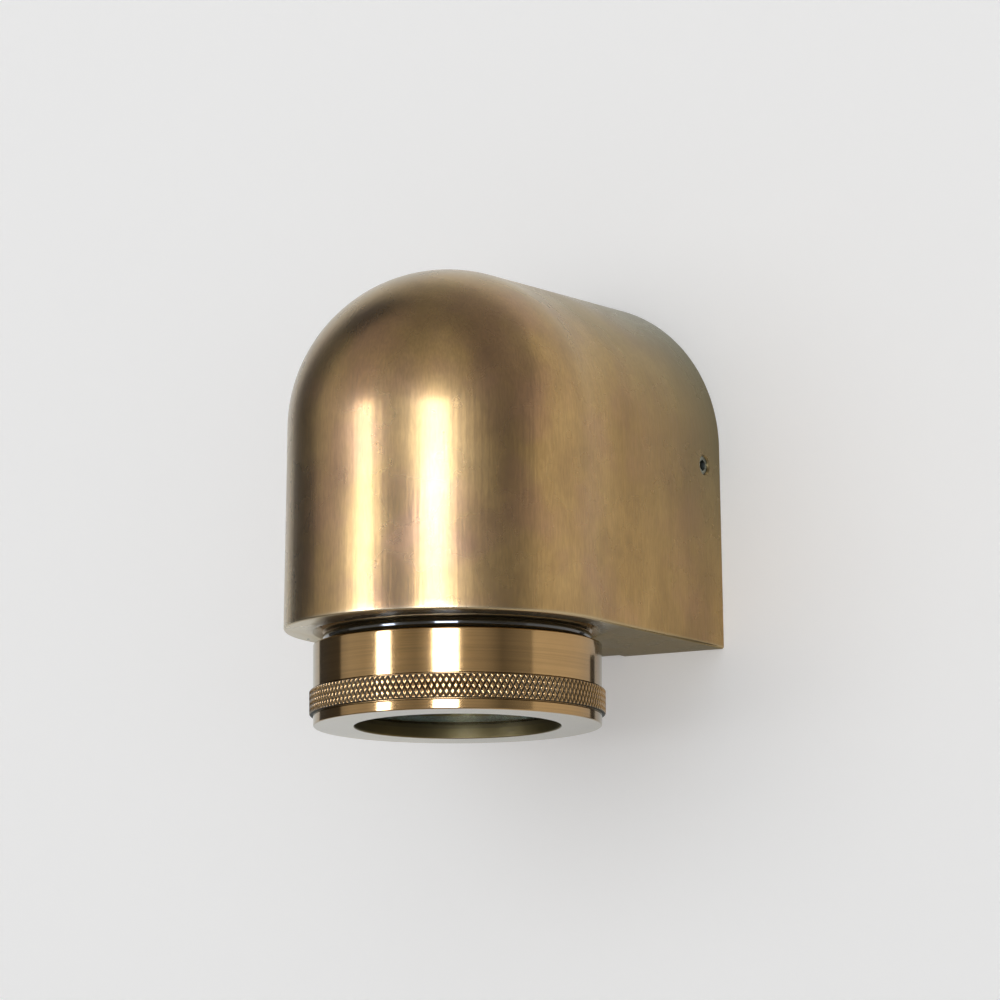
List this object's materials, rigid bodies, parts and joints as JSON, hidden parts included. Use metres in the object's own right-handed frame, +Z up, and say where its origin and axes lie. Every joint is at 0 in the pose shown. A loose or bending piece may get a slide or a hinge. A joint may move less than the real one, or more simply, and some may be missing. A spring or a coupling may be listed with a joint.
{
  "type": "wall downlight",
  "caption": "Domed brass wall downlight with a knurled screw-on bezel, a sealed glass and a twist-lock reflector lamp on a wall plate.",
  "frame": {"origin": "on the wall, midway between the two wall screws and level with the hood's grub screws", "axes": "+Z up, +Y into the wall, +X to the right for someone facing the wall"},
  "size_m": [0.073, 0.0963, 0.1013],
  "materials": {
    "hood_brass": "aged, brushed",
    "bezel_brass": "turned, lightly aged, diamond knurl",
    "collar_brass": "machined",
    "contact_brass": "bright",
    "zinc_steel": "zinc plated",
    "dark_steel": "blackened",
    "black_rubber": "smooth, slightly glossy",
    "grey_foam": "closed-cell foam",
    "silicone": "translucent white",
    "clear_glass": "toughened, clear with a grey-green cast",
    "lamp_shell": "satin die casting",
    "lamp_front": "frosted",
    "ceramic": "unglazed steatite",
    "block_nylon": "natural nylon",
    "brown_sleeve": "silicone sleeve",
    "blue_sleeve": "silicone sleeve",
    "green_sleeve": "silicone sleeve"
  },
  "bodies": {
    "hood": {"housing": "hood_brass", "set_screw_right": "dark_steel", "set_screw_left": "dark_steel", "wall_plate": "zinc_steel", "wall_gasket": "grey_foam", "cable_grommet": "black_rubber", "lamp_collar": "collar_brass", "collar_gasket": "silicone", "collar_screws": "zinc_steel", "o_ring": "black_rubber", "lampholder": "ceramic", "holder_contacts": "contact_brass", "holder_bracket": "zinc_steel", "bracket_screws": "zinc_steel", "holder_screws": "zinc_steel", "terminal_block": "block_nylon", "terminal_inserts": "contact_brass", "terminal_screws": "zinc_steel", "block_screw": "zinc_steel", "earth_terminal": "contact_brass", "earth_screw": "contact_brass", "live_lead": "brown_sleeve", "neutral_lead": "blue_sleeve", "earth_lead": "green_sleeve"},
    "lens": {"lens_glass": "clear_glass", "lens_gasket": "silicone"},
    "bezel": {"bezel": "bezel_brass"},
    "lamp": {"lamp_body": "lamp_shell", "lamp_lens": "lamp_front", "lamp_pins": "contact_brass"}
  },
  "joints": [
    {"name": "bezel_lower", "type": "slide", "parent": "hood", "child": "lens", "axis": [0, 0, -1], "range_m": [0, 0.0075]},
    {"name": "bezel_turn", "type": "hinge", "parent": "lens", "child": "bezel", "pos_m": [0, -0.056, -0.053], "axis": [0, 0, -1], "range_deg": [0, 1800]},
    {"name": "lamp_twist", "type": "hinge", "parent": "hood", "child": "lamp", "pos_m": [0, -0.056, 0], "axis": [0, 0, -1], "range_deg": [0, 22]}
  ],
  "couplings": [
    {"joint": "bezel_lower", "follows": "bezel_turn", "m_per_rad": 0.00023873}
  ]
}
